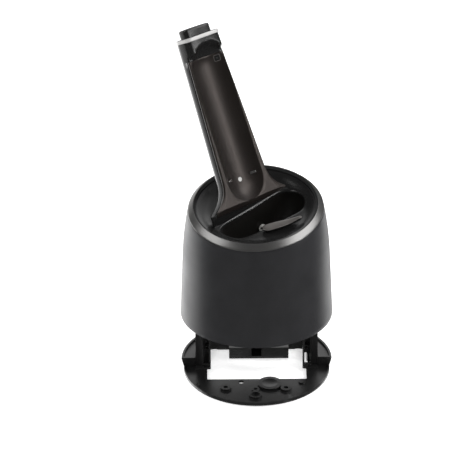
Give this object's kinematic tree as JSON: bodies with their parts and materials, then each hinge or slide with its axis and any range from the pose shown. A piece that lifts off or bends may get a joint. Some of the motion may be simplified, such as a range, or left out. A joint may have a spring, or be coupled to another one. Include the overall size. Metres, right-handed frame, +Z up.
{
  "type": "shaver cleaning station",
  "caption": "Round countertop station with a rising housing on guide columns, tilted gloss deck and basin, and a leaning cradle tower with a start button.",
  "frame": {"origin": "centre of the round base on the plane its rubber feet rest on", "axes": "+Z up, -Y the front of the station, +X to the right seen from the front; the tower stands turned 42 degrees to the left of the rear and leans back"},
  "size_m": [0.1516, 0.1571, 0.3475],
  "materials": {
    "moulded_black": "fine satin black ABS moulding",
    "charcoal_shell": "satin charcoal ABS",
    "gunmetal": "satin gunmetal trim",
    "gloss_black": "high gloss piano black",
    "brown_grey": "satin dark brownish grey",
    "silver_trim": "pearl silver translucent ring",
    "white_lens": "white light guide",
    "steel": "bright steel",
    "plated_contact": "nickel plated spring contacts",
    "rubber_black": "soft black rubber",
    "circuit_board": "green solder mask",
    "brass_pins": "brass pins",
    "clear_tube": "natural polypropylene",
    "satin_grey": "satin grey lacquer"
  },
  "bodies": {
    "base": {"base_tray": "moulded_black", "base_rear_housing": "moulded_black", "column_left": "moulded_black", "column_right": "moulded_black", "lift_spring_left": "steel", "lift_spring_right": "steel", "rubber_feet": "rubber_black", "base_screws": "steel"},
    "housing": {"outer_shell": "charcoal_shell", "metal_ring": "gunmetal", "deck_seal": "rubber_black", "basin_deck": "gloss_black", "chassis_plate": "moulded_black", "guide_sleeve_left": "moulded_black", "guide_sleeve_right": "moulded_black", "drain_spout": "moulded_black", "spout_seal": "rubber_black", "tower_rear_shell": "gloss_black", "tower_front_panel": "brown_grey", "silver_ring": "silver_trim", "status_lens": "white_lens", "sensor_window": "gloss_black", "tower_board": "circuit_board", "start_switch": "moulded_black", "start_spring": "steel", "latch_pin": "steel", "pump_motor": "steel", "pump_volute": "moulded_black", "pump_cover": "moulded_black", "suction_pipe": "clear_tube", "feed_pipe": "clear_tube", "main_board": "circuit_board", "power_socket": "moulded_black", "socket_pins": "brass_pins", "release_guide": "moulded_black", "release_spring": "steel", "chassis_screws": "steel"},
    "release": {"release_button": "moulded_black", "release_slider": "moulded_black"},
    "start_button": {"start_button": "gloss_black"},
    "contact_left": {"contact_left": "plated_contact"},
    "contact_right": {"contact_right": "plated_contact"},
    "shaver_latch": {"shaver_latch": "satin_grey"},
    "impeller": {"pump_impeller": "clear_tube", "motor_shaft": "steel"}
  },
  "joints": [
    {"name": "housing_lift", "type": "slide", "parent": "base", "child": "housing", "axis": [0, 0, 1], "range_m": [-0.054, 0], "stiffness_N_per_m": 150, "springref_m": 0.09, "deforming": ["lift_spring_left", "lift_spring_right"]},
    {"name": "release_press", "type": "slide", "parent": "housing", "child": "release", "axis": [0, -1, 0], "range_m": [0, 0.003], "stiffness_N_per_m": 600, "springref_m": -0.003, "deforming": ["release_spring"]},
    {"name": "start_press", "type": "slide", "parent": "housing", "child": "start_button", "axis": [0.2996, -0.3328, -0.8942], "range_m": [0, 0.0016], "stiffness_N_per_m": 500, "springref_m": -0.002, "deforming": ["start_spring"]},
    {"name": "contact_left_press", "type": "slide", "parent": "housing", "child": "contact_left", "axis": [-0.8805, 0.2644, -0.3934], "range_m": [0, 0.0008], "stiffness_N_per_m": 300, "springref_m": -0.001},
    {"name": "contact_right_press", "type": "slide", "parent": "housing", "child": "contact_right", "axis": [-0.1709, 0.9033, -0.3934], "range_m": [0, 0.0008], "stiffness_N_per_m": 300, "springref_m": -0.001},
    {"name": "latch_tip", "type": "hinge", "parent": "housing", "child": "shaver_latch", "pos_m": [0.02193, -0.03131, 0.177], "axis": [0.9257, 0.3647, 0.1003], "range_deg": [-8, 0], "stiffness_Nm_per_rad": 0.02, "springref_deg": 5.73},
    {"name": "impeller_spin", "type": "hinge", "parent": "housing", "child": "impeller", "pos_m": [0.03, 0.044, 0.117], "axis": [0, 0, 1], "continuous": true}
  ]
}
